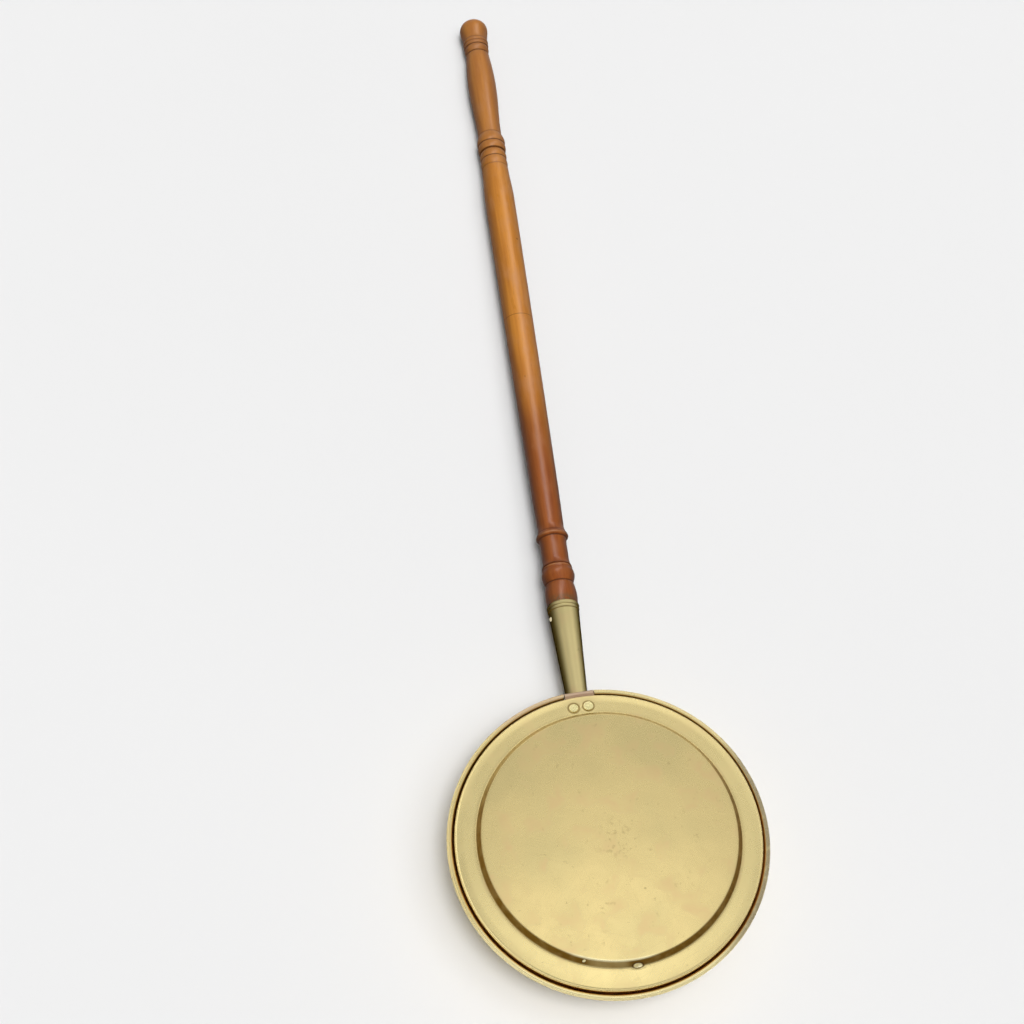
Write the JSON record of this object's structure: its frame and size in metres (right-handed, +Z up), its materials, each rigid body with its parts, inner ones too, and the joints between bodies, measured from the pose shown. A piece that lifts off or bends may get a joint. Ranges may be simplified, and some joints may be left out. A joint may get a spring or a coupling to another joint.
{
  "type": "bed warming pan",
  "caption": "Round brass bed warming pan with a hinged lid, a tapered brass ferrule and a long turned wooden handle.",
  "frame": {"origin": "centre of the pan's flat base, on the surface that the pan rests on", "axes": "+Z up along the pan's axis; +Y runs from the pan along the handle to its end knob; +X to the right, seen from above with the handle pointing away"},
  "size_m": [0.3, 1.2005, 0.1011],
  "materials": {
    "pan_body": "aged, satin",
    "rim_wire": "dark wrought iron wire",
    "backing_plate": "dark iron",
    "socket_plate": "aged, satin",
    "socket_rivets": "aged, satin",
    "ferrule": "aged, satin",
    "ferrule_nail": "worn bright",
    "lower_shaft": "stained red-brown, wax polish",
    "upper_shaft": "stained orange-brown, wax polish",
    "grip": "stained orange-brown, wax polish",
    "end_knob": "stained orange-brown, wax polish",
    "lid": "pale, worn, satin",
    "hinge_strap": "coppery, worn",
    "lid_rivets": "worn bright"
  },
  "bodies": {
    "pan": {"pan_body": "pan_body", "rim_wire": "rim_wire", "backing_plate": "backing_plate", "socket_plate": "socket_plate", "socket_rivets": "socket_rivets", "ferrule": "ferrule", "ferrule_nail": "ferrule_nail", "lower_shaft": "lower_shaft", "upper_shaft": "upper_shaft", "grip": "grip", "end_knob": "end_knob"},
    "lid": {"lid": "lid", "hinge_strap": "hinge_strap", "lid_rivets": "lid_rivets"}
  },
  "joints": [
    {"name": "lid_hinge", "type": "hinge", "parent": "pan", "child": "lid", "pos_m": [-0.0069, 0.14643, 0.08235], "axis": [-0.9989, -0.0471, 0], "range_deg": [0, 180]}
  ]
}
